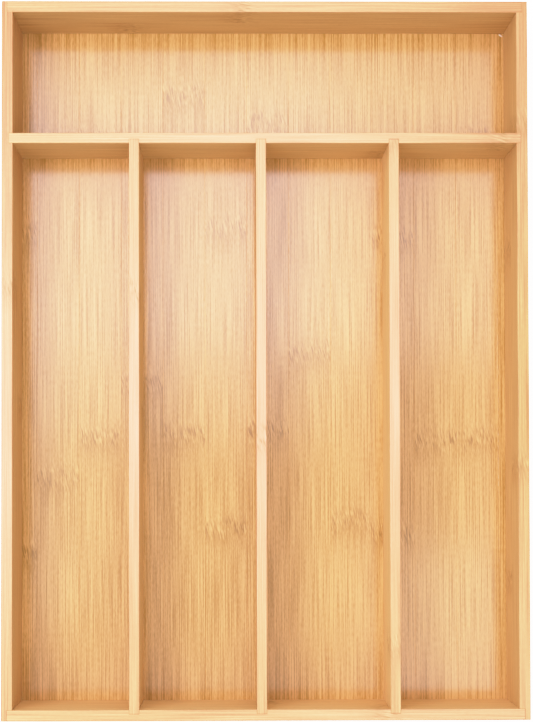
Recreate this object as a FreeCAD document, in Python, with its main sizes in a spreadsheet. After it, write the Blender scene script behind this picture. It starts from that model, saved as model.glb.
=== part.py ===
"""Bamboo cutlery tray for a kitchen drawer.

Four walls with rabbeted corners stand around a grooved-in base panel. A cross divider is housed into the
side walls and parts off a full-width bay at the back. Three long dividers are housed into the cross divider
and the front wall and part the rest into four bays. Headless pins hold every glued joint.

The frame has its origin under the middle of the tray, on the table. X points to the right, Y to the back bay
and Z up.
"""

import FreeCAD, Part
import os
import Sketcher

from FreeCAD import Placement, Rotation, Vector

# Driving dimensions in millimetres: name, value and what it measures
SIZES = (
    ("tray_width", 260.0, "outside the side walls"),
    ("tray_length", 355.0, "outside the front and back walls"),
    ("tray_height", 50.0, "table to rim"),
    ("wall_thickness", 5.5, "the four outer walls"),
    ("divider_thickness", 5.0, "cross divider and long dividers"),
    ("base_thickness", 4.0, "base panel"),
    ("base_recess", 3.0, "table to underside of base panel"),
    ("groove_depth", 2.5, "groove around the walls that holds the base panel"),
    ("corner_lip", 2.5, "side wall left standing outside a corner rabbet"),
    ("housing_depth", 2.2, "housing cut across a board for the end of a divider"),
    ("back_bay", 60.0, "clear depth of the full-width bay at the back"),
    ("first_bay", 57.3, "clear width of the long bay at the left"),
    ("second_bay", 57.7, "clear width of the next long bay"),
    ("third_bay", 60.7, "clear width of the long bay after that"),
    ("fit_clearance", 0.1, "glue gap in a rabbet, groove or housing"),
    ("edge_ease", 0.3, "rounding of the edges that a hand meets"),
    ("pin_wire", 1.0, "square wire of a headless pin"),
    ("pin_length", 16.0, "blunt end to tip"),
    ("pin_point", 1.5, "chisel tip"),
    ("pin_set", 0.3, "blunt end below the face that the pin is driven into"),
    ("pin_clearance", 0.05, "room around a pin and past its tip"),
    ("pin_low_row", 16.0, "table to the lower pins"),
    ("pin_high_row", 11.0, "rim down to the upper pins"),
    ("cut_overrun", 1.0, "how far a cut runs on past an edge that it opens"),
)

# Measures that follow from the driving dimensions
INNER_WIDTH = "(Sizes.tray_width - 2 * Sizes.wall_thickness)"
INNER_LENGTH = "(Sizes.tray_length - 2 * Sizes.wall_thickness)"
BASE_TOP = "(Sizes.base_recess + Sizes.base_thickness)"
GROOVE_TOP = f"({BASE_TOP} + Sizes.fit_clearance)"
DIVIDER_HEIGHT = f"(Sizes.tray_height - {BASE_TOP})"
RABBET_DEPTH = "(Sizes.wall_thickness - Sizes.corner_lip)"
TENON = "(Sizes.housing_depth - Sizes.fit_clearance)"
HOUSING_WIDTH = "(Sizes.divider_thickness + Sizes.fit_clearance)"
PIN_HOLE = "(Sizes.pin_wire + 2 * Sizes.pin_clearance)"
PIN_REACH = "(Sizes.pin_set + Sizes.pin_length + Sizes.pin_clearance)"
HIGH_ROW = "(Sizes.tray_height - Sizes.pin_high_row)"

# Board lengths
END_WALL_LENGTH = f"({INNER_WIDTH} + 2 * ({RABBET_DEPTH} - Sizes.fit_clearance))"
CROSS_DIVIDER_LENGTH = f"({INNER_WIDTH} + 2 * {TENON})"
LONG_BAY = f"({INNER_LENGTH} - Sizes.back_bay - Sizes.divider_thickness)"
LONG_DIVIDER_LENGTH = f"({LONG_BAY} + 2 * {TENON})"

# Places of the boards in the tray
END_WALL_MIDDLE = "(Sizes.tray_length / 2 - Sizes.wall_thickness / 2)"
CROSS_FRONT = f"({INNER_LENGTH} / 2 - Sizes.back_bay - Sizes.divider_thickness)"
CROSS_MIDDLE = f"({CROSS_FRONT} + Sizes.divider_thickness / 2)"
LONG_MIDDLE = f"({CROSS_FRONT} / 2 - {INNER_LENGTH} / 4)"
LEFT_FACE = f"(Sizes.first_bay - {INNER_WIDTH} / 2)"
MIDDLE_FACE = f"({LEFT_FACE} + Sizes.divider_thickness + Sizes.second_bay)"
RIGHT_FACE = f"({MIDDLE_FACE} + Sizes.divider_thickness + Sizes.third_bay)"
LONG_DIVIDERS = {
    "left_divider": f"({LEFT_FACE} + Sizes.divider_thickness / 2)",
    "middle_divider": f"({MIDDLE_FACE} + Sizes.divider_thickness / 2)",
    "right_divider": f"({RIGHT_FACE} + Sizes.divider_thickness / 2)",
}

# Wood that a pin passes through before it reaches the end of the next board
AT_CORNER = "(Sizes.corner_lip + Sizes.fit_clearance)"
AT_WALL_HOUSING = "(Sizes.wall_thickness - Sizes.housing_depth + Sizes.fit_clearance)"
AT_CROSS_HOUSING = "(Sizes.divider_thickness - Sizes.housing_depth + Sizes.fit_clearance)"

# An eased edge takes at most this share of its board's thickness
EASE_LIMIT = 0.25

# The sketch's axes and zero, and the two ends of a line, as a constraint names them
ACROSS, UPRIGHT = -1, -2
ORIGIN = (-1, 1)
START, END = 1, 2

UP = Vector(0, 0, 1)
NEAR = 1e-4


def make_sheet(doc):
    """Write the driving dimensions into the sheet that every feature reads."""
    sheet = doc.addObject("Spreadsheet::Sheet", "Sizes")
    for row, (name, value, note) in enumerate(SIZES, 1):
        sheet.set(f"A{row}", name)
        sheet.set(f"B{row}", str(value))
        sheet.set(f"C{row}", note)
        sheet.setAlias(f"B{row}", name)
    doc.recompute()


def origin_feature(body, role):
    """Find a plane or axis of the body's own origin."""
    return next(feature for feature in body.Origin.OriginFeatures if feature.Role == role)


def place(body, turn=0, **places):
    """Turn a body about the upright axis and hold its place to expressions."""
    body.Placement = Placement(Vector(), Rotation(UP, turn))
    for axis, size in places.items():
        body.setExpression(f"Placement.Base.{axis}", size)


def new_sketch(body, name, role, **offsets):
    """Start a sketch on an origin plane, moved in that plane's axes by expressions."""
    sketch = body.newObject("Sketcher::SketchObject", f"{body.Label}_{name}")
    sketch.AttachmentSupport = [(origin_feature(body, role), "")]
    sketch.MapMode = "FlatFace"
    for axis, size in offsets.items():
        sketch.setExpression(f"AttachmentOffset.Base.{axis}", size)
    return sketch


def hold(sketch, kind, first, second, size):
    """Hold the distance between two points of a sketch to an expression."""
    value = sketch.evalExpression(size)
    index = sketch.addConstraint(Sketcher.Constraint(kind, *first, *second, value))
    sketch.setExpression(f"Constraints[{index}]", size)


def closed_outline(sketch, points):
    """Draw straight sides through the points, join their ends and return the first side's number."""
    first = sketch.GeometryCount
    count = len(points)
    for side in range(count):
        sketch.addGeometry(Part.LineSegment(Vector(*points[side]), Vector(*points[(side + 1) % count])))
    for side in range(count):
        follower = first + (side + 1) % count
        sketch.addConstraint(Sketcher.Constraint("Coincident", first + side, END, follower, START))
    return first


def rectangle(sketch, left, right, low, high):
    """Draw a rectangle with its sides held to expressions measured from the sketch's axes."""
    x0, x1, y0, y1 = (sketch.evalExpression(size) for size in (left, right, low, high))
    first = closed_outline(sketch, [(x0, y0), (x1, y0), (x1, y1), (x0, y1)])
    for side, kind in enumerate(("Horizontal", "Vertical", "Horizontal", "Vertical")):
        sketch.addConstraint(Sketcher.Constraint(kind, first + side))
    hold(sketch, "DistanceX", ORIGIN, (first, START), left)
    hold(sketch, "DistanceY", ORIGIN, (first, START), low)
    hold(sketch, "DistanceX", ORIGIN, (first + 2, START), right)
    hold(sketch, "DistanceY", ORIGIN, (first + 2, START), high)


def pin_openings(sketch, across, base="0"):
    """Draw the square holes of both rows of pins at each place across, in a sketch that starts at base."""
    half = f"{PIN_HOLE} / 2"
    for middle in across:
        for row in ("Sizes.pin_low_row", HIGH_ROW):
            height = f"({row} - {base})"
            sides = (f"({middle} - {half})", f"({middle} + {half})")
            rectangle(sketch, *sides, f"({height} - {half})", f"({height} + {half})")


def cut(body, sketch, depth=None, backwards=False):
    """Cut a sketch into the body, to a depth or right through, and make sure that wood came off."""
    before = body.Shape.Volume
    pocket = body.newObject("PartDesign::Pocket", f"{sketch.Label}_cut")
    pocket.Profile = sketch
    pocket.Reversed = backwards
    if depth is None:
        pocket.Type = "ThroughAll"
    else:
        pocket.setExpression("Length", depth)
    body.Document.recompute()
    if body.Shape.Volume > before - NEAR:
        raise RuntimeError(f"{pocket.Label} cut nothing")


def make_board(doc, label, length, thickness, height):
    """Make a plain board: length along X about the middle, thickness along +Y, height along +Z."""
    body = doc.addObject("PartDesign::Body", label)
    section = new_sketch(body, "section", "YZ_Plane")
    rectangle(section, "0", thickness, "0", height)
    pad = body.newObject("PartDesign::Pad", f"{label}_board")
    pad.Profile = section
    pad.SideType = "Symmetric"
    pad.setExpression("Length", length)
    doc.recompute()
    return body


def ease_edges(body, thickness, wanted):
    """Round the wanted edges of the board, which its box of limits tells apart."""
    board = body.Tip
    box = board.Shape.BoundBox
    names = []
    for number, edge in enumerate(board.Shape.Edges, 1):
        if wanted(edge.BoundBox, box):
            names.append(f"Edge{number}")
    fillet = body.newObject("PartDesign::Fillet", f"{body.Label}_eased")
    fillet.Base = (board, names)
    fillet.setExpression("Radius", f"min(Sizes.edge_ease; {EASE_LIMIT} * {thickness})")
    body.Document.recompute()


def outer_or_top(edge, board):
    """Edges around the outer face and around the top of a side wall."""
    return edge.YMin > board.YMax - NEAR or edge.ZMin > board.ZMax - NEAR


def long_outer_or_top(edge, board):
    """Edges that run along an end wall, apart from the lower one inside."""
    return edge.XLength > NEAR and outer_or_top(edge, board)


def long_top(edge, board):
    """The two edges that run along the top of a divider."""
    return edge.XLength > NEAR and edge.ZMin > board.ZMax - NEAR


def cut_base_groove(body, length):
    """Plough the groove for the base panel along the inner face of a wall."""
    end = f"({length} / 2 + Sizes.cut_overrun)"
    sketch = new_sketch(body, "base_groove", "XZ_Plane")
    rectangle(sketch, f"-{end}", end, "Sizes.base_recess", GROOVE_TOP)
    cut(body, sketch, "Sizes.groove_depth")


def cut_housings(body, across, height):
    """Cut upright housings for divider ends into the face at y = 0, right through to both edges."""
    sketch = new_sketch(body, "housings", "XZ_Plane")
    for middle in across:
        left = f"({middle} - {HOUSING_WIDTH} / 2)"
        right = f"({middle} + {HOUSING_WIDTH} / 2)"
        rectangle(sketch, left, right, "-Sizes.cut_overrun", f"({height} + Sizes.cut_overrun)")
    cut(body, sketch, "Sizes.housing_depth")


def cut_corner_rabbets(body):
    """Cut the rabbets at both ends of a side wall that take the ends of the front and back walls."""
    shoulder = f"({INNER_LENGTH} / 2 - Sizes.fit_clearance)"
    end = "(Sizes.tray_length / 2 + Sizes.cut_overrun)"
    sketch = new_sketch(body, "corner_rabbets", "XZ_Plane")
    for left, right in ((shoulder, end), (f"-{end}", f"-{shoulder}")):
        rectangle(sketch, left, right, "-Sizes.cut_overrun", "(Sizes.tray_height + Sizes.cut_overrun)")
    cut(body, sketch, RABBET_DEPTH)


def bore_face(body, across, base="0"):
    """Bore the pin holes right through a board from its face."""
    sketch = new_sketch(body, "pin_holes", "XZ_Plane")
    pin_openings(sketch, across, base)
    cut(body, sketch)


def bore_ends(body, length, thickness, passed, base="0"):
    """Bore the blind pin holes into both ends of a board, less the wood that the pins pass through first."""
    for name, way, wood in (("far_end", "", passed[1]), ("near_end", "-", passed[0])):
        sketch = new_sketch(body, f"{name}_holes", "YZ_Plane", z=f"{way}{length} / 2")
        pin_openings(sketch, [f"{thickness} / 2"], base)
        cut(body, sketch, f"({PIN_REACH} - {wood})", backwards=way == "-")


def make_side_wall(doc, label, turn, side, cross_place):
    """Make a side wall, with its outer lip standing past the front and back walls at both corners."""
    body = make_board(doc, label, "Sizes.tray_length", "Sizes.wall_thickness", "Sizes.tray_height")
    ease_edges(body, "Sizes.wall_thickness", outer_or_top)
    cut_corner_rabbets(body)
    cut_base_groove(body, "Sizes.tray_length")
    cut_housings(body, [cross_place], "Sizes.tray_height")
    bore_face(body, [END_WALL_MIDDLE, f"-{END_WALL_MIDDLE}", cross_place])
    place(body, turn, x=f"{side}{INNER_WIDTH} / 2")
    return body


def make_end_wall(doc, label, turn, side, housings):
    """Make the front or back wall, with housings for the long dividers where there are any."""
    body = make_board(doc, label, END_WALL_LENGTH, "Sizes.wall_thickness", "Sizes.tray_height")
    ease_edges(body, "Sizes.wall_thickness", long_outer_or_top)
    cut_base_groove(body, END_WALL_LENGTH)
    if housings:
        cut_housings(body, housings, "Sizes.tray_height")
        bore_face(body, housings)
    bore_ends(body, END_WALL_LENGTH, "Sizes.wall_thickness", (AT_CORNER, AT_CORNER))
    place(body, turn, y=f"{side}{INNER_LENGTH} / 2")
    return body


def make_cross_divider(doc):
    """Make the cross divider, which stands on the base and takes the long dividers in its front face."""
    body = make_board(doc, "cross_divider", CROSS_DIVIDER_LENGTH, "Sizes.divider_thickness", DIVIDER_HEIGHT)
    ease_edges(body, "Sizes.divider_thickness", long_top)
    cut_housings(body, LONG_DIVIDERS.values(), DIVIDER_HEIGHT)
    bore_face(body, LONG_DIVIDERS.values(), BASE_TOP)
    passed = (AT_WALL_HOUSING, AT_WALL_HOUSING)
    bore_ends(body, CROSS_DIVIDER_LENGTH, "Sizes.divider_thickness", passed, BASE_TOP)
    place(body, y=CROSS_FRONT, z=BASE_TOP)
    return body


def make_long_divider(doc, label, middle):
    """Make a long divider, which runs from the front wall to the cross divider."""
    body = make_board(doc, label, LONG_DIVIDER_LENGTH, "Sizes.divider_thickness", DIVIDER_HEIGHT)
    ease_edges(body, "Sizes.divider_thickness", long_top)
    passed = (AT_WALL_HOUSING, AT_CROSS_HOUSING)
    bore_ends(body, LONG_DIVIDER_LENGTH, "Sizes.divider_thickness", passed, BASE_TOP)
    place(body, 90, x=f"({middle} + Sizes.divider_thickness / 2)", y=LONG_MIDDLE, z=BASE_TOP)
    return body


def make_base_panel(doc):
    """Make the base panel, whose edges lie in the grooves of all four walls."""
    body = doc.addObject("PartDesign::Body", "base_panel")
    sketch = new_sketch(body, "outline", "XY_Plane")
    half_width = f"({INNER_WIDTH} / 2 + Sizes.groove_depth - Sizes.fit_clearance)"
    half_length = f"({INNER_LENGTH} / 2 + Sizes.groove_depth - Sizes.fit_clearance)"
    rectangle(sketch, f"-{half_width}", half_width, f"-{half_length}", half_length)
    pad = body.newObject("PartDesign::Pad", "base_panel_board")
    pad.Profile = sketch
    pad.setExpression("Length", "Sizes.base_thickness")
    place(body, z="Sizes.base_recess")
    doc.recompute()
    return body


def make_pins(doc, label, span, apart=None):
    """Make two rows of pins, driven towards each other along X from heads that are a span apart.

    Where apart is given, a second set stands that far away along Y. Returns the body and its number of pins.
    """
    body = doc.addObject("PartDesign::Body", label)
    offsets = {"x": f"-{span} / 2", "y": "Sizes.pin_low_row"}
    if apart:
        offsets["z"] = f"{apart} / 2"
    sketch = new_sketch(body, "profile", "XZ_Plane", **offsets)
    half_wire, shank, tip = "Sizes.pin_wire / 2", "(Sizes.pin_length - Sizes.pin_point)", "Sizes.pin_length"
    rise, run, reach = (sketch.evalExpression(size) for size in (half_wire, shank, tip))
    first = closed_outline(sketch, [(0, -rise), (run, -rise), (reach, 0), (run, rise), (0, rise)])
    sketch.addConstraint(Sketcher.Constraint("PointOnObject", first, START, UPRIGHT))
    sketch.addConstraint(Sketcher.Constraint("PointOnObject", first + 2, START, ACROSS))
    sketch.addConstraint(Sketcher.Constraint("Horizontal", first))
    sketch.addConstraint(Sketcher.Constraint("Horizontal", first + 3))
    sketch.addConstraint(Sketcher.Constraint("Vertical", first + 4))
    hold(sketch, "DistanceY", ORIGIN, (first, START), f"-{half_wire}")
    hold(sketch, "DistanceX", ORIGIN, (first + 1, START), shank)
    hold(sketch, "DistanceX", ORIGIN, (first + 2, START), tip)
    hold(sketch, "DistanceX", ORIGIN, (first + 3, START), shank)
    hold(sketch, "DistanceY", ORIGIN, (first + 3, START), half_wire)
    pin = body.newObject("PartDesign::Pad", f"{label}_pin")
    pin.Profile = sketch
    pin.SideType = "Symmetric"
    pin.setExpression("Length", "Sizes.pin_wire")
    doc.recompute()

    pattern = body.newObject("PartDesign::MultiTransform", f"{label}_pattern")
    pattern.Originals = [pin]
    rows = body.newObject("PartDesign::LinearPattern", f"{label}_rows")
    rows.Direction = (origin_feature(body, "Z_Axis"), [""])
    rows.Occurrences = 2
    rows.setExpression("Length", f"({HIGH_ROW} - Sizes.pin_low_row)")
    steps = [rows]
    for plane in ("YZ_Plane", "XZ_Plane") if apart else ("YZ_Plane",):
        mirror = body.newObject("PartDesign::Mirrored", f"{label}_{plane}")
        mirror.MirrorPlane = (origin_feature(body, plane), [""])
        steps.append(mirror)
    pattern.Transformations = steps
    body.Tip = pattern
    doc.recompute()
    return body, 2 ** len(steps)


def make_all_pins(doc):
    """Make the pins of every joint, and return each group's body with its number of pins."""
    side_span = "(Sizes.tray_width - 2 * Sizes.pin_set)"
    corner = make_pins(doc, "corner_pins", side_span, f"(2 * {END_WALL_MIDDLE})")
    cross = make_pins(doc, "cross_divider_pins", side_span)
    place(cross[0], y=CROSS_MIDDLE)
    groups = [corner, cross]
    cross_back = f"({CROSS_FRONT} + Sizes.divider_thickness)"
    long_span = f"({cross_back} + Sizes.tray_length / 2 - 2 * Sizes.pin_set)"
    for label, middle in LONG_DIVIDERS.items():
        pins = make_pins(doc, f"{label}_pins", long_span)
        place(pins[0], 90, x=middle, y=f"({cross_back} - Sizes.tray_length / 2) / 2")
        groups.append(pins)
    return dict(groups)


def make_tray(doc):
    """Make every piece of the tray, and return the bodies with the number of solids each should have."""
    front_housings = [f"-{middle}" for middle in LONG_DIVIDERS.values()]
    boards = [
        make_side_wall(doc, "left_wall", 90, "-", CROSS_MIDDLE),
        make_side_wall(doc, "right_wall", -90, "", f"-{CROSS_MIDDLE}"),
        make_end_wall(doc, "back_wall", 0, "", []),
        make_end_wall(doc, "front_wall", 180, "-", front_housings),
        make_cross_divider(doc),
    ]
    for label, middle in LONG_DIVIDERS.items():
        boards.append(make_long_divider(doc, label, middle))
    boards.append(make_base_panel(doc))
    counts = {board: 1 for board in boards}
    counts.update(make_all_pins(doc))
    doc.recompute()
    return counts


def check(doc, counts):
    """Stop if any feature failed or a piece is not whole."""
    for feature in doc.Objects:
        if "Invalid" in feature.State or "Error" in feature.State:
            raise RuntimeError(f"{feature.Label} failed: {feature.State}")
    for body, count in counts.items():
        shape = body.Shape
        if shape.isNull() or not shape.isValid() or len(shape.Solids) != count:
            raise RuntimeError(f"{body.Label} is not {count} sound solids")


def main():
    """Build the tray and write one file for each piece."""
    doc = FreeCAD.newDocument("CutleryTray")
    make_sheet(doc)
    counts = make_tray(doc)
    check(doc, counts)
    os.makedirs("parts", exist_ok=True)
    for body in counts:
        body.Shape.exportStep(f"parts/{body.Label}.step")


main()
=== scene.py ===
import itertools
import logging
import math
from dataclasses import dataclass, replace
from enum import Enum

import bmesh
import bpy
from mathutils import Matrix, Vector


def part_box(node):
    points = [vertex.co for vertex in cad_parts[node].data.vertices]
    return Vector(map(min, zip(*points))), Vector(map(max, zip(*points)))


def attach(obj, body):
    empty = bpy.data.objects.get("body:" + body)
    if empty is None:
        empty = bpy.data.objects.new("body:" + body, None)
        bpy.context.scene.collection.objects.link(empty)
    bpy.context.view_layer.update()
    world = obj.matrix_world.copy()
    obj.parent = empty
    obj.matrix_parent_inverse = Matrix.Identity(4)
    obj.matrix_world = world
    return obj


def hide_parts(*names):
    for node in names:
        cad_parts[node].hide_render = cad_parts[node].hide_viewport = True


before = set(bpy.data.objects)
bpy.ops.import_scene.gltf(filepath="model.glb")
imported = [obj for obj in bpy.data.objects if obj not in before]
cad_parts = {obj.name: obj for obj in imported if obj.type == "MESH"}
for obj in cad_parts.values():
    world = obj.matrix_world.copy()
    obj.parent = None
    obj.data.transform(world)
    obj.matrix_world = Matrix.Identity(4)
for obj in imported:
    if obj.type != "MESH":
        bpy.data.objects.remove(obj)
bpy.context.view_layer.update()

MM = 0.001
HALF = 0.5
ENDLESS = 1e6
ROOT = "root"
WHITE = (1.0, 1.0, 1.0, 1.0)
# Where the darkest and palest colours of a cloudy finish lie on its ramp.
CLOUD_DARK, CLOUD_PALE = 0.2, 0.8
# A small block's edges are softened by this part of its thinnest side.
BLOCK_EDGE_PART = 5
# Number of the tone curve that acts on all three colours together.
COMBINED_CURVE = 3

Colour = tuple[float, float, float, float]
Point = tuple[float, float, float]
Span = tuple[float, float]
Socket = bpy.types.NodeSocket
Value = float | Socket

log = logging.getLogger("cutlery_tray")


class Grain(Enum):
    """Which way the fibres of a board run, as the number of that axis."""

    SIDE_TO_SIDE = 0
    FRONT_TO_BACK = 1


class Outside(Enum):
    """Which face of a board is on the outside of the tray, as the sign of its direction."""

    NONE = 0
    LOW = -1
    HIGH = 1


class Graph:
    """Shader nodes of one material, added and joined one call at a time."""

    def __init__(self, name: str) -> None:
        """Start a material with a plain principled shader.

        Args:
            name: Name of the material.
        """
        self.material = bpy.data.materials.new(name)
        self.material.use_nodes = True
        self.tree = self.material.node_tree
        self.shader = self.tree.nodes["Principled BSDF"]

    def node(self, kind: str, **settings: object) -> bpy.types.Node:
        """Add a node.

        Args:
            kind: Blender's name for the kind of node.
            settings: Properties of the node to set.

        Returns:
            The new node.
        """
        made = self.tree.nodes.new(kind)
        for key, setting in settings.items():
            setattr(made, key, setting)
        return made

    def feed(self, socket: Socket, value: Value | Colour) -> None:
        """Link a socket into an input, or set the input to a plain value.

        Args:
            socket: The input.
            value: A socket to link, or a value to set.
        """
        if isinstance(value, bpy.types.NodeSocket):
            self.tree.links.new(value, socket)
        else:
            socket.default_value = value

    def math(self, operation: str, *values: Value) -> Socket:
        """Add a math node.

        Args:
            operation: Blender's name for the operation.
            values: Its inputs in order.

        Returns:
            The result's socket.
        """
        made = self.node("ShaderNodeMath", operation=operation)
        for socket, value in zip(made.inputs, values):
            self.feed(socket, value)
        return made.outputs[0]

    def total(self, *values: Value) -> Socket:
        """Add up any number of values.

        Args:
            values: The values, two or more.

        Returns:
            The sum's socket.
        """
        running = values[0]
        for value in values[1:]:
            running = self.math("ADD", running, value)
        return running

    def scaled(self, value: Value, factor: Value) -> Socket:
        """Multiply two values and return the product's socket."""
        return self.math("MULTIPLY", value, factor)

    def hump(self, distance: Value, reach: float) -> Socket:
        """Make a bell curve that is 1 where a distance is 0 and fades over a reach.

        Args:
            distance: The distance.
            reach: Where the curve has fallen to about a third.

        Returns:
            The curve's socket.
        """
        share = self.math("DIVIDE", distance, reach)
        return self.math("EXPONENT", self.scaled(self.scaled(share, share), -1.0))

    def rise(self, value: Value, low: float, high: float) -> Socket:
        """Map a value smoothly from 0 below low to 1 above high.

        Args:
            value: The value.
            low: Where the rise starts.
            high: Where it ends.

        Returns:
            The mapped value's socket.
        """
        made = self.node("ShaderNodeMapRange", interpolation_type="SMOOTHSTEP")
        for name, setting in zip(("Value", "From Min", "From Max"), (value, low, high)):
            self.feed(made.inputs[name], setting)
        return made.outputs["Result"]

    def noise(self, along: Value, across: Value, depth: Value, detail: float = 2.0) -> Socket:
        """Add a noise pattern centred on 0.

        Args:
            along: First coordinate of the pattern.
            across: Second coordinate.
            depth: Third coordinate.
            detail: Octaves of finer noise on top.

        Returns:
            The noise's socket, from about -0.5 to 0.5.
        """
        place = self.node("ShaderNodeCombineXYZ")
        for socket, value in zip(place.inputs, (along, across, depth)):
            self.feed(socket, value)
        made = self.node("ShaderNodeTexNoise", noise_dimensions="3D")
        self.feed(made.inputs["Vector"], place.outputs[0])
        self.feed(made.inputs["Scale"], 1.0)
        self.feed(made.inputs["Detail"], detail)
        return self.math("SUBTRACT", made.outputs[0], HALF)

    def ramp(self, value: Value, *stops: tuple[float, Colour]) -> Socket:
        """Turn a value into a colour.

        Args:
            value: The value, from 0 to 1.
            stops: Places on the ramp with their colours.

        Returns:
            The colour's socket.
        """
        made = self.node("ShaderNodeValToRGB")
        elements = made.color_ramp.elements
        while len(elements) < len(stops):
            elements.new(HALF)
        for element, (place, colour) in zip(elements, stops):
            element.position = place
            element.color = colour
        self.feed(made.inputs["Fac"], value)
        return made.outputs["Color"]

    def clouded(self, cloud: Value, dark: Colour, pale: Colour) -> Socket:
        """Turn a noise into a colour between dark and pale and return the colour's socket."""
        return self.ramp(self.total(HALF, cloud), (CLOUD_DARK, dark), (CLOUD_PALE, pale))

    def blend(self, share: Value, first: Value | Colour, second: Value | Colour) -> Socket:
        """Mix two colours.

        Args:
            share: How much of the second colour there is, from 0 to 1.
            first: The first colour.
            second: The second colour.

        Returns:
            The mixture's socket.
        """
        made = self.node("ShaderNodeMix", data_type="RGBA")
        self.feed(made.inputs["Factor"], share)
        self.feed(made.inputs["A"], first)
        self.feed(made.inputs["B"], second)
        return next(socket for socket in made.outputs if socket.type == "RGBA")

    def places(self) -> tuple[Socket, Socket, Socket]:
        """Read the object's own coordinates.

        Returns:
            The sockets of X, Y and Z in mm.
        """
        corner = self.node("ShaderNodeTexCoord").outputs["Object"]
        parts = self.node("ShaderNodeSeparateXYZ")
        self.feed(parts.inputs[0], corner)
        x, y, z = (self.scaled(socket, 1.0 / MM) for socket in parts.outputs)
        return x, y, z

    def attribute(self, name: str) -> Socket:
        """Read a number that a mesh carries and return its socket."""
        return self.node("ShaderNodeAttribute", attribute_name=name).outputs["Fac"]

    def bump(self, height: Value, strength: float, distance: float) -> None:
        """Raise the shader's normals by a height pattern.

        Args:
            height: The pattern.
            strength: How much of it shows.
            distance: Its full height in metres.
        """
        made = self.node("ShaderNodeBump")
        self.feed(made.inputs["Strength"], strength)
        self.feed(made.inputs["Distance"], distance)
        self.feed(made.inputs["Height"], height)
        self.feed(self.shader.inputs["Normal"], made.outputs["Normal"])

    def set(self, **inputs: Value | Colour) -> None:
        """Set inputs of the shader, named with underscores for spaces."""
        for name, value in inputs.items():
            self.feed(self.shader.inputs[name.replace("_", " ")], value)


@dataclass(frozen=True)
class Pattern:
    """A noise in the wood: its strength, and the size of its features along and across the fibres in mm."""

    strength: float
    length: float
    width: float


@dataclass(frozen=True)
class FibreSpace:
    """Places in a board of bamboo, measured along and across its fibres in mm."""

    graph: Graph
    along: Value
    across: Value
    depth: Value
    detail: float = 1.0

    def noise(self, pattern: Pattern) -> Socket:
        """Add a pattern's noise, drawn out along the fibres.

        Args:
            pattern: The pattern, whose strength isn't used here.

        Returns:
            The noise's socket, from about -0.5 to 0.5.
        """
        graph = self.graph
        sizes = ((self.along, pattern.length), (self.across, pattern.width), (self.depth, pattern.width))
        return graph.noise(*(graph.scaled(place, 1.0 / size) for place, size in sizes), self.detail)

    def shift(self, pattern: Pattern) -> Socket:
        """Add a pattern's noise at its strength and return its socket."""
        return self.graph.scaled(self.noise(pattern), pattern.strength)

    def pushed(self, shift: Value) -> "FibreSpace":
        """Return the same space with its places pushed sideways."""
        return replace(self, across=self.graph.total(self.across, shift))


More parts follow.
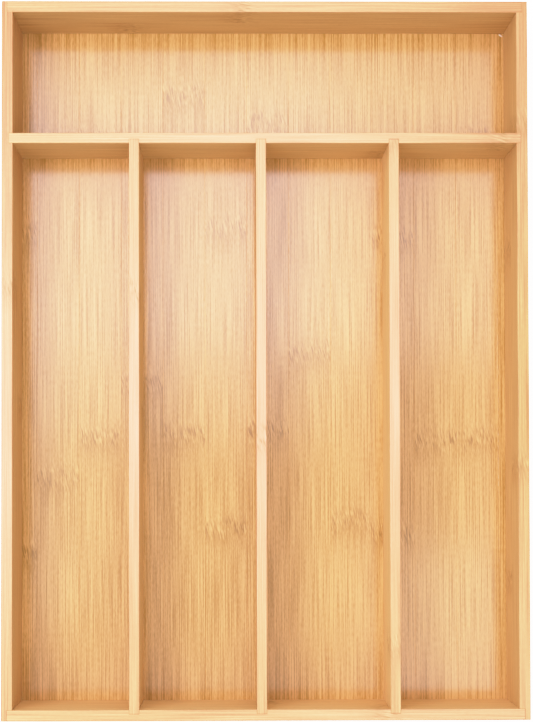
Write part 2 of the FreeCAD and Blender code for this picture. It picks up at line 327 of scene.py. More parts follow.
@dataclass(frozen=True)
class BambooFinish:
    """Lacquered bamboo with straight fibres, dark vessels and knuckles, as on the base panel.

    Strengths shift the wood's shade, which is 0 where the colour is dark and 1 where it is pale. Those of
    arch and bend shift places instead. Lengths are in mm.
    """

    deep: Colour = (0.393, 0.202, 0.040, 1.0)
    dark: Colour = (0.393, 0.202, 0.040, 1.0)
    body: Colour = (0.557, 0.307, 0.098, 1.0)
    pale: Colour = (0.721, 0.411, 0.157, 1.0)
    light: Colour = (0.721, 0.411, 0.157, 1.0)
    ramp_start: float = 0.25
    ramp_scale: float = 0.5
    knuckle: Colour = (0.29, 0.148, 0.031, 1.0)
    # Colours of the sheen painted on the rims, from dark to pale, and where they lie on the ramp.
    sheen_dark: Colour = (0.69, 0.31, 0.165, 1.0)
    sheen_pale: Colour = (0.89, 0.415, 0.28, 1.0)
    sheen_stops: Span = (0.15, 0.65)
    speckle: Pattern = Pattern(1.05, 2.5, 0.5)
    fine_fibre: Pattern = Pattern(2.7, 48.0, 0.5)
    broad_fibre: Pattern = Pattern(0.5, 60.0, 1.5)
    streak: Pattern = Pattern(0.14, 160.0, 7.0)
    vessel: Pattern = Pattern(0.14, 16.0, 0.6)
    vessel_rise: Span = (0.10, 0.24)
    arch: Pattern = Pattern(9.0, ENDLESS, 10.0)
    bend: Pattern = Pattern(1.6, 9.0, 4.0)
    knuckle_reach: float = 8.0
    knuckle_calm: float = 0.5
    knuckle_shade: float = 0.2
    shade_behind: float = 4.0
    shade_reach: float = 7.0
    pale_dash: Pattern = Pattern(0.5, 5.2, 0.68)
    pale_rise: Span = (0.05, 0.22)
    dark_dash: float = 0.85
    dark_rise: Span = (0.02, 0.16)
    dark_reach: float = 5.5
    dash_slant: float = 0.17
    satin: float = 0.15
    rim_sheen: float = 0.30
    matte: float = 0.85
    fibre_polish: float = 0.08
    lacquer_ior: float = 1.63
    relief: float = 0.1
    relief_height: float = 0.1
    broad_relief: float = 0.5

    def paint(
        self, space: FibreSpace, knuckle: Value, tone: Value, roughness: Value, painted_sheen: Value = 0.0,
    ) -> None:
        """Lay the bamboo pattern over a material.

        Args:
            space: The board's fibre space.
            knuckle: Distance along the fibres from the nearest knuckle.
            tone: Lighter above 0, darker below.
            roughness: The lacquer's roughness before the fibres vary it.
            painted_sheen: Share of the pale pinkish colour painted on as sheen, where the rims have it.
        """
        graph = space.graph
        offset = graph.math("SUBTRACT", knuckle, space.shift(self.arch))
        near = graph.hump(offset, self.knuckle_reach)
        sway = graph.scaled(graph.scaled(space.noise(self.bend), near), self.bend.strength)
        bent = space.pushed(sway)

        calm = graph.math("SUBTRACT", 1.0, graph.scaled(near, self.knuckle_calm))
        fine = graph.scaled(bent.noise(self.fine_fibre), calm)
        broad = bent.noise(self.broad_fibre)
        vessels = graph.rise(bent.noise(self.vessel), *self.vessel_rise)
        dashes = space.pushed(graph.scaled(offset, self.dash_slant)).noise(self.pale_dash)
        pale_dashes = graph.scaled(graph.rise(dashes, *self.pale_rise), near)
        gaps = graph.rise(graph.scaled(dashes, -1.0), *self.dark_rise)
        dark_dashes = graph.scaled(gaps, graph.hump(offset, self.dark_reach))
        band = graph.hump(graph.total(offset, self.shade_behind), self.shade_reach)
        shade = graph.total(
            HALF,
            tone,
            bent.shift(self.speckle),
            graph.scaled(fine, self.fine_fibre.strength),
            graph.scaled(broad, self.broad_fibre.strength),
            space.shift(self.streak),
            graph.scaled(vessels, -self.vessel.strength),
            graph.scaled(pale_dashes, self.pale_dash.strength),
            graph.scaled(band, -self.knuckle_shade),
        )

        place = graph.total(graph.scaled(shade, self.ramp_scale), self.ramp_start)
        colours = (self.deep, self.dark, self.body, self.pale, self.light)
        spacing = 1.0 / (len(colours) - 1)
        wood = graph.ramp(place, *((spacing * number, colour) for number, colour in enumerate(colours)))
        # The pale pinkish colour of the painted sheen, mixed into the wood where the rims have it.
        painted_sheen_colour = graph.ramp(place, *zip(self.sheen_stops, (self.sheen_dark, self.sheen_pale)))
        rim_sheen = graph.blend(painted_sheen, wood, painted_sheen_colour)
        colour = graph.blend(graph.scaled(dark_dashes, self.dark_dash), rim_sheen, self.knuckle)
        graph.set(Base_Color=colour, IOR=self.lacquer_ior)
        graph.set(Roughness=graph.total(roughness, graph.scaled(fine, -self.fibre_polish)))
        height = graph.total(fine, graph.scaled(broad, self.broad_relief))
        graph.bump(height, self.relief, self.relief_height * MM)


@dataclass(frozen=True)
class UprightBamboo(BambooFinish):
    """The bamboo of the walls and dividers: calmer fibres, and colours further apart than the base has."""

    deep: Colour = (0.35, 0.128, 0.020, 1.0)
    dark: Colour = (0.44, 0.207, 0.055, 1.0)
    body: Colour = (0.555, 0.321, 0.108, 1.0)
    pale: Colour = (0.695, 0.437, 0.168, 1.0)
    light: Colour = (0.83, 0.54, 0.225, 1.0)
    knuckle: Colour = (0.34, 0.178, 0.042, 1.0)
    speckle: Pattern = Pattern(0.4, 2.5, 0.5)
    fine_fibre: Pattern = Pattern(1.9, 48.0, 0.5)
    broad_fibre: Pattern = Pattern(0.3, 60.0, 1.5)
    vessel: Pattern = Pattern(0.08, 16.0, 0.6)
    dark_dash: float = 0.9
    lacquer_ior: float = 1.57


@dataclass(frozen=True)
class Rim:
    """How a board's upper edge differs from its faces. Places are along the board in mm."""

    tone: float = 0.0
    # Painted shade, darkening the rim towards the board's back or right end.
    painted_far_shade: float = 0.0
    # Painted sheen along the rim: an even share, rising to a peak round one place, with the reach of that
    # rise.
    painted_sheen: float = 0.0
    painted_sheen_at: float = 0.0
    painted_sheen_reach: float = 100.0
    even_painted_sheen: float = 0.22
    depth: float = 0.6


@dataclass(frozen=True)
class Board:
    """One upright board, laid up from strips of bamboo one above another. Lengths in mm.

    knuckle_at is where its upper strip has a knuckle. painted_far_shade is painted shade, added towards its
    back or right end from painted_shade_from on, and painted_foot_light is painted light that evens out the
    shading of its inner face, paler at the foot and darker towards the rim.
    """

    node: str
    grain: Grain
    knuckle_at: float
    # A board's tone is partly its own shade of bamboo and partly painted light, lightening inner faces that
    # take more light, as on the front wall.
    tone: float = 0.0
    rim: Rim = Rim()
    # Painted shade, darkening the whole board towards its back or right end, from the given place on.
    painted_far_shade: float = 0.0
    painted_shade_from: float = 0.0
    outside: Outside = Outside.NONE
    outer_tone: float = -0.25
    # Painted light that evens out the shading of the inner face: paler at the foot, darker towards the rim.
    painted_foot_light: float = 0.4
    skin: float = 0.5
    strip_height: float = 21.2
    rim_margin: float = 0.01
    knuckle_spacing: float = 250.0
    strip_step: float = 57.0
    strip_seed: float = 31.7

    def corners(self) -> tuple[Vector, Vector]:
        """Give the board's lowest and highest corners in mm."""
        low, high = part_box(self.node)
        return low / MM, high / MM

    def outer_share(self, graph: Graph, along: Value, thickness: Value) -> Socket:
        """Mark the outer face and both ends, which the inside of the tray doesn't show.

        Args:
            graph: The material's nodes.
            along: Place along the board.
            thickness: Place through it.

        Returns:
            The mark's socket, 1 on these faces and 0 elsewhere.
        """
        low, high = self.corners()
        axis, side = self.grain.value, 1 - self.grain.value
        core, half = (low[side] + high[side]) / 2, (high[side] - low[side]) / 2
        half_length = (high[axis] - low[axis]) / 2
        outwards = graph.scaled(graph.math("SUBTRACT", thickness, core), float(self.outside.value))
        to_tip = graph.math("ABSOLUTE", graph.math("SUBTRACT", along, high[axis] - half_length))
        return graph.math(
            "MAXIMUM",
            graph.rise(outwards, half - self.skin, half - self.skin / 2),
            graph.rise(to_tip, half_length - self.skin, half_length - self.skin / 2),
        )

    def painted_sheen_share(self, graph: Graph, along: Value) -> Socket:
        """Work out how much sheen is painted on the rim: an even share, rising to a peak round one place.

        Args:
            graph: The material's nodes.
            along: Place along the board.

        Returns:
            The share's socket.
        """
        near = graph.hump(graph.math("SUBTRACT", along, self.rim.painted_sheen_at), self.rim.painted_sheen_reach)
        return graph.total(self.rim.even_painted_sheen, graph.scaled(near, self.rim.painted_sheen - self.rim.even_painted_sheen))

    def material(self, finish: BambooFinish) -> bpy.types.Material:
        """Make the board's own bamboo.

        Args:
            finish: The finish to lay over it.

        Returns:
            The material.
        """
        graph = Graph(f"bamboo_{self.node}")
        places = graph.places()
        along, thickness, z = places[self.grain.value], places[1 - self.grain.value], places[2]
        low, high = self.corners()

        below = graph.math("SUBTRACT", high.z + self.rim_margin, z)
        strip = graph.math("FLOOR", graph.math("DIVIDE", below, self.strip_height))
        start = graph.math("SUBTRACT", along, self.knuckle_at)
        step = graph.total(start, graph.scaled(strip, self.strip_step))
        knuckle = graph.math("WRAP", step, self.knuckle_spacing / 2, -self.knuckle_spacing / 2)
        seeded = graph.total(z, graph.scaled(strip, self.strip_seed), self.knuckle_at)

        # A share rising towards the board's back or right end, where shade is painted.
        far_shade_share = graph.rise(along, self.painted_shade_from, high[self.grain.value])
        rim = graph.rise(z, high.z - self.rim.depth, high.z - self.rim.depth / 2)
        rim_tone_and_painted_shade = graph.total(self.rim.tone, graph.scaled(far_shade_share, self.rim.painted_far_shade))
        # Painted light on the inner face below the rim: paler towards the foot, darker towards the rim.
        down = graph.total(graph.scaled(below, 1.0 / (high.z - low.z)), -HALF)
        painted_foot_tone = graph.scaled(graph.scaled(down, graph.math("SUBTRACT", 1.0, rim)), self.painted_foot_light)
        face_tone_and_painted_light = graph.total(self.tone, painted_foot_tone, graph.scaled(far_shade_share, self.painted_far_shade))
        to_outer = graph.math("SUBTRACT", self.outer_tone, face_tone_and_painted_light)
        change = graph.scaled(self.outer_share(graph, along, thickness), to_outer)
        # The wood's tone with its painted light and painted shade.
        tone = graph.total(face_tone_and_painted_light, change, graph.scaled(rim, rim_tone_and_painted_shade))

        roughness = graph.total(finish.matte, graph.scaled(rim, finish.rim_sheen - finish.matte))
        # The share of painted sheen on the rim.
        painted_sheen = graph.scaled(rim, self.painted_sheen_share(graph, along))
        finish.paint(FibreSpace(graph, along, thickness, seeded), knuckle, tone, roughness, painted_sheen)
        return graph.material

    def dress(self, finish: BambooFinish) -> None:
        """Give the CAD board its bamboo.

        Args:
            finish: The finish of its bamboo.
        """
        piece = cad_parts[self.node]
        piece.data.materials.clear()
        piece.data.materials.append(self.material(finish))
        log.info("dressed %s", self.node)


@dataclass(frozen=True)
class BoardSet:
    """Boards that are dressed together."""

    boards: tuple[Board, ...]

    def dress(self, finish: BambooFinish) -> None:
        """Give every board its bamboo."""
        for board in self.boards:
            board.dress(finish)


@dataclass(frozen=True)
class WallFrame(BoardSet):
    """The four outer walls with their rabbeted corners."""

    boards: tuple[Board, ...] = (
        Board(
            "left_wall", Grain.FRONT_TO_BACK, knuckle_at=37.0, painted_far_shade=-0.3, outside=Outside.LOW,
            rim=Rim(tone=-0.3, painted_sheen=0.55, painted_sheen_at=-50.0, painted_sheen_reach=70.0),
        ),
        Board(
            "right_wall", Grain.FRONT_TO_BACK, knuckle_at=117.0, knuckle_spacing=168.0, tone=0.2,
            painted_far_shade=-0.2, outside=Outside.HIGH, rim=Rim(tone=-0.4, painted_far_shade=-0.1),
        ),
        Board(
            "back_wall", Grain.SIDE_TO_SIDE, knuckle_at=-12.0, tone=0.05, painted_shade_from=60.0,
            outside=Outside.HIGH,
            rim=Rim(tone=-0.25, painted_far_shade=-0.3, painted_sheen=0.35, painted_sheen_at=-20.0, painted_sheen_reach=80.0),
        ),
        Board(
            "front_wall", Grain.SIDE_TO_SIDE, knuckle_at=60.0, tone=0.6, outside=Outside.LOW,
            rim=Rim(tone=-0.75, painted_sheen=0.4, painted_sheen_at=60.0),
        ),
    )


@dataclass(frozen=True)
class DividerSet(BoardSet):
    """The cross divider and the long dividers housed into it."""

    boards: tuple[Board, ...] = (
        Board(
            "cross_divider", Grain.SIDE_TO_SIDE, knuckle_at=117.0, tone=0.15, painted_shade_from=70.0,
            rim=Rim(tone=-0.25, painted_far_shade=-0.3, painted_sheen=0.5, painted_sheen_reach=90.0),
        ),
        Board(
            "left_divider", Grain.FRONT_TO_BACK, knuckle_at=33.0, tone=0.15,
            rim=Rim(tone=-0.35, painted_sheen=0.85, painted_sheen_at=-32.0, painted_sheen_reach=90.0),
        ),
        Board(
            "middle_divider", Grain.FRONT_TO_BACK, knuckle_at=-38.0, tone=0.1,
            rim=Rim(tone=-0.25, painted_sheen=0.8, painted_sheen_at=-30.0),
        ),
        Board(
            "right_divider", Grain.FRONT_TO_BACK, knuckle_at=-140.0, tone=0.7,
            rim=Rim(tone=-0.85, painted_sheen=0.75, painted_sheen_at=-20.0, painted_sheen_reach=90.0),
        ),
    )


@dataclass(frozen=True)
class BasePanel:
    """The base panel, glued up from flat bamboo strips that run front to back. Lengths in mm.

    knuckles and tones have one entry for each strip, from the left, and a strip has at most two knuckles.
    """

    first_seam: float = -116.8
    strip_width: float = 21.6
    seam_ease: float = 0.08
    seed_step: float = 43.0
    far_away: float = 1000.0
    knuckles: tuple[tuple[float, ...], ...] = (
        (-95.7, 68.6),
        (-58.0, 116.0),
        (-37.0, 118.0),
        (-10.0,),
        (-36.0, 139.5),
        (-84.0, 71.0),
        (-33.0, 125.5),
        (6.6,),
        (-80.0,),
        (-88.0, 65.0),
        (-39.0,),
        (-38.0, 118.0),
        (),
    )
    tones: tuple[float, ...] = (0.0, 0.0, 0.03, 0.0, -0.02, 0.01, 0.02, 0.04, 0.09, 0.1, 0.08, 0.11, 0.05)

    def seams(self) -> list[float]:
        """List the strips' edges across the panel.

        Returns:
            The edges' places in X, from the left edge to the right.
        """
        low, high = (corner.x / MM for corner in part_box("base_panel"))
        inner = [self.first_seam + self.strip_width * k for k in range(len(self.knuckles) - 1)]
        return [low, *inner, high]

    def strip(self, name: str, left: float, right: float) -> bpy.types.Object:
        """Model one strip with eased edges.

        Args:
            name: Name of the piece.
            left: Its left edge.
            right: Its right edge.

        Returns:
            The piece.
        """
        low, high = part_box("base_panel")
        size = Vector(((right - left) * MM, high.y - low.y, high.z - low.z))
        middle = Vector(((left + right) / 2 * MM, (low.y + high.y) / 2, (low.z + high.z) / 2))
        mesh = bmesh.new()
        bmesh.ops.create_cube(mesh, size=1.0, matrix=Matrix.LocRotScale(middle, None, size))
        bmesh.ops.bevel(
            mesh, geom=mesh.edges[:], offset=self.seam_ease * MM, segments=2, profile=0.5,
            affect="EDGES", material=-1,
        )
        return finished(mesh, name)

    def material(self, finish: BambooFinish) -> bpy.types.Material:
        """Make the bamboo of the strips, which read their own knuckles and tone.

        Args:
            finish: The finish to lay over it.

        Returns:
            The material.
        """
        graph = Graph("bamboo_strips")
        x, y, z = graph.places()
        front = graph.math("SUBTRACT", y, graph.attribute("front_knuckle"))
        back = graph.math("SUBTRACT", y, graph.attribute("back_knuckle"))
        nearer = graph.math("LESS_THAN", graph.math("ABSOLUTE", front), graph.math("ABSOLUTE", back))
        gap = graph.math("SUBTRACT", front, back)
        knuckle = graph.total(back, graph.scaled(gap, nearer))
        seeded = graph.total(z, graph.attribute("seed"))
        finish.paint(FibreSpace(graph, y, x, seeded), knuckle, graph.attribute("tone"), finish.satin)
        return graph.material

    def build(self, finish: BambooFinish) -> None:
        """Model and dress every strip of the panel.

        Args:
            finish: The finish of the strips' bamboo.
        """
        material = self.material(finish)
        seams = self.seams()
        for number, (knuckles, tone) in enumerate(zip(self.knuckles, self.tones)):
            piece = self.strip(f"base_strip_{number + 1:02d}", seams[number], seams[number + 1])
            front, *_, back = (*knuckles, *knuckles) or (self.far_away, self.far_away)
            carry(piece, front_knuckle=front, back_knuckle=back, tone=tone, seed=number * self.seed_step)
            piece.data.materials.append(material)
            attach(piece, ROOT)
            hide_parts("base_panel")
            log.info("built %s", piece.name)


@dataclass(frozen=True)
class GlueFinish:
    """Hardened wood glue, tinted by the bamboo around it."""

    name: str = "joint_glue"
    pale: Colour = (0.56, 0.275, 0.08, 1.0)
    dark: Colour = (0.40, 0.175, 0.042, 1.0)
    roughness: float = 0.3
    unevenness: float = 0.2
    relief: float = 0.2
    relief_height: float = 0.05

    def material(self) -> bpy.types.Material:
        """Make the glue.

        Returns:
            The material.
        """
        graph = Graph(self.name)
        cloud = graph.noise(*graph.places())
        graph.set(Base_Color=graph.clouded(cloud, self.dark, self.pale))
        graph.set(Roughness=graph.total(self.roughness, graph.scaled(cloud, self.unevenness)))
        graph.bump(cloud, self.relief, self.relief_height * MM)
        return graph.material


@dataclass(frozen=True)
class PaleDropFinish(GlueFinish):
    """The milky pale finish of the drop in the back right corner."""

    name: str = "pale_drop_finish"
    pale: Colour = (0.86, 0.72, 0.58, 1.0)
    dark: Colour = (0.74, 0.55, 0.40, 1.0)


@dataclass(frozen=True)
class JointGlue:
    """Glue that fills the joints of the rim, flush with the wood. Lengths in mm."""

    end_gap: float = 0.1
    side_gap: float = 0.05
    edge_ease: float = 0.3
    depth: float = 0.5
    below_rim: float = 0.03

    def fill(self, mesh: bmesh.types.BMesh, across: Span, along: Span) -> None:
        """Fill a gap of the rim between two places in X and two in Y.

        Args:
            mesh: The mesh to add to.
            across: The gap's ends in X.
            along: Its ends in Y.
        """
        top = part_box("left_wall")[1].z / MM - self.below_rim
        add_block(mesh, (across[0], along[0], top - self.depth), (across[1], along[1], top))

    def corners(self, mesh: bmesh.types.BMesh) -> None:
        """Fill both seams of each corner, where an end wall lies in a side wall's rabbet.

        Args:
            mesh: The mesh to add to.
        """
        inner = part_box("right_wall")[0].x / MM
        low, high = (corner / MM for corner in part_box("back_wall"))
        seat = high.x + self.end_gap
        for side in (-1, 1):
            for end in (-1, 1):
                seam = (end * (low.y + self.edge_ease), end * (high.y - self.edge_ease))
                self.fill(mesh, (side * high.x, side * seat), seam)
                shoulder = (end * (low.y - self.end_gap), end * (low.y + self.edge_ease))
                self.fill(mesh, (side * (inner + self.edge_ease), side * seat), shoulder)

    def housing(self, tip: float, mouth: float, sides: Span) -> list[tuple[Span, Span]]:
        """Work out the seam round the end of a divider in its housing.

        Args:
            tip: Where the divider ends.
            mouth: The face that the housing is cut into.
            sides: The divider's two faces.

        Returns:
            The seam's three runs, each with its ends along the divider and across it.
        """
        way = math.copysign(1.0, tip - mouth)
        floor = tip + way * self.end_gap
        lip = mouth + way * self.edge_ease
        low, high = sides
        return [
            ((lip, floor), (low - self.side_gap, low + self.edge_ease)),
            ((lip, floor), (high - self.edge_ease, high + self.side_gap)),
            ((tip, floor), (low + self.edge_ease, high - self.edge_ease)),
        ]

    def housings(self, mesh: bmesh.types.BMesh) -> None:
        """Fill the seams round both ends of every divider.

        Args:
            mesh: The mesh to add to.
        """
        low, high = (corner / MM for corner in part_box("cross_divider"))
        left_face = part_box("left_wall")[1].x / MM
        right_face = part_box("right_wall")[0].x / MM
        for tip, mouth in ((low.x, left_face), (high.x, right_face)):
            for along, across in self.housing(tip, mouth, (low.y, high.y)):
                self.fill(mesh, along, across)
        cross_face, front_face = low.y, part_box("front_wall")[1].y / MM
        for divider in ("left_divider", "middle_divider", "right_divider"):
            low, high = (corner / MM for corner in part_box(divider))
            for tip, mouth in ((low.y, front_face), (high.y, cross_face)):
                for along, across in self.housing(tip, mouth, (low.x, high.x)):
                    self.fill(mesh, across, along)

    def build(self, finish: GlueFinish) -> None:
        """Model and dress the glue of every joint.

        Args:
            finish: The glue's finish.
        """
        mesh = bmesh.new()
        self.corners(mesh)
        self.housings(mesh)
        piece = finished(mesh, "joint_glue")
        piece.data.materials.append(finish.material())
        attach(piece, ROOT)
        log.info("built %s", piece.name)


@dataclass(frozen=True)
class PinPlugs:
    """Dabs of filler over the sunk heads of the pins, flush with the wood. Lengths in mm."""

    wire: float = 1.0
    hole: float = 1.1
    sunk: float = 0.3
    below_face: float = 0.02
    across_groups: tuple[str, ...] = ("corner_pins", "cross_divider_pins")
    along_groups: tuple[str, ...] = ("left_divider_pins", "middle_divider_pins", "right_divider_pins")

    def heads(self, low: float, high: float) -> list[Span]:
        """Give the filler's two ends over the heads at both ends of a row of pins."""
        reach = self.sunk - self.below_face
        return [(low - reach, low), (high, high + reach)]

    def rows(self, low: float, high: float) -> list[Span]:
        """Give the two sides of the holes at the lowest and highest pin of a group."""
        middles = sorted({round(low + self.wire / 2, 2), round(high - self.wire / 2, 2)})
        return [(middle - self.hole / 2, middle + self.hole / 2) for middle in middles]

    def build(self, finish: GlueFinish) -> None:
        """Model and dress the filler over every head.

        Args:
            finish: The filler's finish.
        """
        mesh = bmesh.new()
        for group in self.across_groups + self.along_groups:
            low, high = (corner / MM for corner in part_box(group))
            lengthwise = group in self.along_groups
            xs = self.rows(low.x, high.x) if lengthwise else self.heads(low.x, high.x)
            ys = self.heads(low.y, high.y) if lengthwise else self.rows(low.y, high.y)
            for x, y, z in itertools.product(xs, ys, self.rows(low.z, high.z)):
                add_block(mesh, (x[0], y[0], z[0]), (x[1], y[1], z[1]))
        piece = finished(mesh, "pin_plugs")
        piece.data.materials.append(finish.material())
        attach(piece, ROOT)
        log.info("built %s", piece.name)


@dataclass(frozen=True)
class PaleDrop:
    """A flat, milky pale drop on the base panel, in the back right corner.

    Lengths are in mm and the turn in degrees. cut_reach is how near to the cut a point counts as on it, in
    radii.
    """

    length: float = 2.4
    width: float = 1.0
    height: float = 0.45
    turn: float = -35.0
    from_right: float = 1.5
    from_back: float = 0.9
    segments: int = 24
    rings: int = 12
    cut_reach: float = 0.001

    def build(self, finish: GlueFinish) -> None:
        """Model and dress the drop.

        Args:
            finish: The drop's finish.
        """
        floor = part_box("base_panel")[1].z
        side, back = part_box("right_wall")[0].x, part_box("back_wall")[0].y
        place = Vector((side - self.from_right * MM, back - self.from_back * MM, floor))
        size = Vector((self.length / 2, self.width / 2, self.height)) * MM
        turn = Matrix.Rotation(math.radians(self.turn), 4, "Z")
        mesh = bmesh.new()
        bmesh.ops.create_uvsphere(mesh, u_segments=self.segments, v_segments=self.rings, radius=1.0)
        bmesh.ops.bisect_plane(
            mesh, geom=mesh.verts[:] + mesh.edges[:] + mesh.faces[:], dist=self.cut_reach,
            plane_co=(0.0, 0.0, 0.0), plane_no=(0.0, 0.0, 1.0), clear_inner=True,
        )
        rim = [edge for edge in mesh.edges if edge.is_boundary]
        bmesh.ops.holes_fill(mesh, edges=rim, sides=len(rim))
        bmesh.ops.recalc_face_normals(mesh, faces=mesh.faces[:])
        shape = Matrix.Translation(place) @ turn @ Matrix.LocRotScale(None, None, size)
        bmesh.ops.transform(mesh, matrix=shape, verts=mesh.verts[:])
        piece = finished(mesh, "pale_drop")
        piece.data.materials.append(finish.material())
        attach(piece, ROOT)
        log.info("built %s", piece.name)


@dataclass(frozen=True)
class SteelFinish:
    """Bright drawn wire with fine lines along it."""

    colour: Colour = (0.55, 0.54, 0.52, 1.0)
    dull: Colour = (0.30, 0.29, 0.28, 1.0)
    roughness: float = 0.35
    unevenness: float = 0.2
    fineness: float = 6.0

    def material(self) -> bpy.types.Material:
        """Make the steel.

        Returns:
            The material.
        """
        graph = Graph("pin_steel")
        x, y, z = graph.places()
        lines = graph.noise(x, y, graph.scaled(z, self.fineness))
        graph.set(Base_Color=graph.clouded(lines, self.dull, self.colour), Metallic=1.0)
        graph.set(Roughness=graph.total(self.roughness, graph.scaled(lines, self.unevenness)))
        return graph.material


@dataclass(frozen=True)
class PinSet:
    """The headless pins of every joint."""

    groups: tuple[str, ...] = (
        "corner_pins",
        "cross_divider_pins",
        "left_divider_pins",
        "middle_divider_pins",
        "right_divider_pins",
    )

    def dress(self, finish: SteelFinish) -> None:
        """Give the pins their steel.

        Args:
            finish: The steel's finish.
        """
        material = finish.material()
        for group in self.groups:
            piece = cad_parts[group]
            piece.data.materials.clear()
            piece.data.materials.append(material)
            log.info("dressed %s", group)


@dataclass(frozen=True)
class Softbox:
    """A flat rectangular studio light that hangs level and shines down. Lengths in metres."""

    name: str
    centre: Point
    size: Span
    radiance: float
    tint: Point = (1.0, 1.0, 1.0)

    def hang(self) -> None:
        """Put the light in the scene."""
        data = bpy.data.lights.new(self.name, "AREA")
        data.shape = "RECTANGLE"
        data.size, data.size_y = self.size
        data.energy = self.radiance * math.pi * self.size[0] * self.size[1]
        data.color = self.tint
        light = bpy.data.objects.new(self.name, data)
        light.location = self.centre
        bpy.context.scene.collection.objects.link(light)


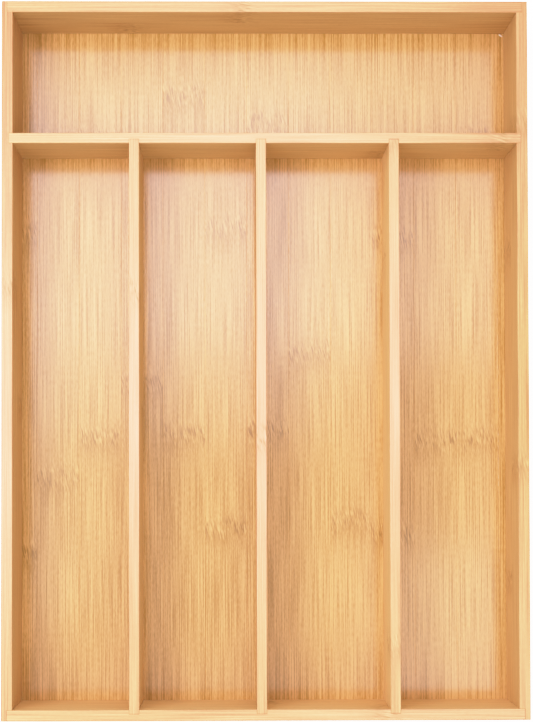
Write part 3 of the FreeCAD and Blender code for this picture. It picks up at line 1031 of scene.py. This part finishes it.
@dataclass(frozen=True)
class Studio:
    """A pale floor, soft light from above and a camera that looks down into the tray.

    Lengths are in metres, but for floor_cloud and the lens in mm, and the camera's turn is in degrees. Light
    up to the shoulder keeps its brightness, and from there to the brightest it is rolled off.
    """

    floor_size: float = 16.0
    floor_cells: int = 8
    floor_drop: float = 0.0001
    floor_pale: Colour = (0.93, 0.93, 0.92, 1.0)
    floor_shade: Colour = (0.90, 0.90, 0.89, 1.0)
    floor_cloud: float = 90.0
    floor_roughness: float = 0.8
    # The floor glows: painted light that keeps it white in the tray's shadow and lights the tray's outer
    # faces.
    floor_painted_glow: float = 0.8
    room_glow: float = 1.2
    shoulder: float = 0.6
    brightest: float = 2.5
    steps_below: tuple[float, ...] = (0.3, 0.6, 0.9)
    steps_above: tuple[float, ...] = (0.25, 0.6, 1.0, 1.6, 2.4, 3.4)
    lights: tuple[Softbox, ...] = (
        Softbox("overhead_bank", (0.0, 0.24, 1.05), (0.70, 0.32), 2.25, (1.0, 0.86, 0.98)),
        Softbox("overhead_key", (-0.125, 0.20, 1.04), (0.45, 0.40), 1.78, (0.97, 0.84, 0.98)),
        Softbox("overhead_core", (0.0, 0.35, 1.03), (0.20, 0.50), 0.6, (1.0, 0.86, 0.98)),
        Softbox("overhead_low", (-0.25, -0.05, 1.05), (0.20, 0.30), 0.85),
        Softbox("left_softbox", (-0.50, 0.0, 1.05), (0.30, 0.40), 15.4, (1.0, 0.93, 1.0)),
        Softbox("back_left_softbox", (-0.825, 0.80, 1.05), (0.35, 0.40), 7.7),
        Softbox("right_front_softbox", (0.40, -0.30, 1.05), (0.50, 0.35), 1.75),
        Softbox("front_softbox", (0.0, -0.60, 1.05), (0.70, 0.60), 1.1, (1.0, 1.0, 0.8)),
    )
    camera_place: Point = (-0.0158, -0.0643, 0.9539)
    camera_turn: Point = (1.343, -0.647, -0.114)
    lens: float = 91.66
    shift: Span = (0.0168, 0.119)

    def lay_floor(self) -> None:
        """Lay the pale floor under the tray, which glows as painted light."""
        mesh = bmesh.new()
        cells = self.floor_cells
        bmesh.ops.create_grid(mesh, x_segments=cells, y_segments=cells, size=self.floor_size / 2)
        bmesh.ops.translate(mesh, verts=mesh.verts[:], vec=(0.0, 0.0, -self.floor_drop))
        floor = finished(mesh, "studio_floor")
        graph = Graph("studio_floor")
        x, y, z = graph.places()
        cloud = graph.noise(*(graph.scaled(place, 1.0 / self.floor_cloud) for place in (x, y)), z)
        graph.set(Base_Color=graph.clouded(cloud, self.floor_shade, self.floor_pale))
        graph.set(Roughness=self.floor_roughness)
        graph.set(Emission_Color=WHITE, Emission_Strength=self.floor_painted_glow)
        floor.data.materials.append(graph.material)

    def light(self) -> None:
        """Hang the lights in an evenly bright room."""
        for softbox in self.lights:
            softbox.hang()
        world = bpy.data.worlds.new("studio_room")
        world.use_nodes = True
        backdrop = world.node_tree.nodes["Background"]
        backdrop.inputs["Color"].default_value = WHITE
        backdrop.inputs["Strength"].default_value = self.room_glow
        bpy.context.scene.world = world

    def develop(self) -> None:
        """Give the picture the soft shoulder of a camera's tone curve."""
        view = bpy.context.scene.view_settings
        view.view_transform = "Standard"
        view.use_curve_mapping = True
        curve = view.curve_mapping
        curve.white_level = (self.brightest, self.brightest, self.brightest)
        points = curve.curves[COMBINED_CURVE].points
        rest = 1.0 - self.shoulder
        steps = [self.shoulder * share for share in self.steps_below]
        steps += [self.shoulder + rest * reach for reach in self.steps_above]
        for light in steps:
            over = max(light - self.shoulder, 0.0)
            shown = min(light, self.shoulder) + rest * (1.0 - math.exp(-over / rest))
            points.new(light / self.brightest, shown)
        curve.update()

    def aim_camera(self) -> None:
        """Set the camera above the tray, turned by a degree or two from straight down."""
        data = bpy.data.cameras.new("photo_camera")
        data.lens = self.lens
        data.shift_x, data.shift_y = self.shift
        camera = bpy.data.objects.new("photo_camera", data)
        camera.location = self.camera_place
        camera.rotation_euler = [math.radians(turn) for turn in self.camera_turn]
        bpy.context.scene.collection.objects.link(camera)
        bpy.context.scene.camera = camera

    def build(self) -> None:
        """Set up floor, lights, camera and tone curve."""
        self.lay_floor()
        self.light()
        self.aim_camera()
        self.develop()


def finished(mesh: bmesh.types.BMesh, name: str) -> bpy.types.Object:
    """Turn a mesh in the making into an object at the origin.

    Args:
        mesh: The mesh, which is freed.
        name: Name of the object.

    Returns:
        The object.
    """
    data = bpy.data.meshes.new(name)
    mesh.to_mesh(data)
    mesh.free()
    piece = bpy.data.objects.new(name, data)
    bpy.context.scene.collection.objects.link(piece)
    return piece


def add_block(mesh: bmesh.types.BMesh, first: Point, second: Point) -> None:
    """Add a small block with softened edges between two opposite corners.

    Args:
        mesh: The mesh to add to.
        first: One corner in mm.
        second: The corner opposite.
    """
    low, high = (Vector(map(pick, first, second)) * MM for pick in (min, max))
    place = Matrix.LocRotScale((low + high) / 2, None, high - low)
    made = bmesh.ops.create_cube(mesh, size=1.0, matrix=place)
    edges = list({edge for point in made["verts"] for edge in point.link_edges})
    bmesh.ops.bevel(
        mesh, geom=edges, offset=min(high - low) / BLOCK_EDGE_PART, segments=1, profile=0.5,
        affect="EDGES", material=-1,
    )


def carry(piece: bpy.types.Object, **numbers: float) -> None:
    """Store numbers on a piece's mesh for its material to read.

    Args:
        piece: The piece.
        numbers: Attribute names with the number that every point carries.
    """
    for name, number in numbers.items():
        layer = piece.data.attributes.new(name, "FLOAT", "POINT")
        layer.data.foreach_set("value", [number] * len(piece.data.vertices))


def main() -> None:
    """Dress the tray and set up the studio."""
    logging.basicConfig(level=logging.INFO, format="%(name)s: %(message)s")
    WallFrame().dress(UprightBamboo())
    DividerSet().dress(UprightBamboo())
    BasePanel().build(BambooFinish())
    PinSet().dress(SteelFinish())
    JointGlue().build(GlueFinish())
    PinPlugs().build(GlueFinish(name="pin_filler"))
    PaleDrop().build(PaleDropFinish())
    Studio().build()


if __name__ == "__main__":
    main()
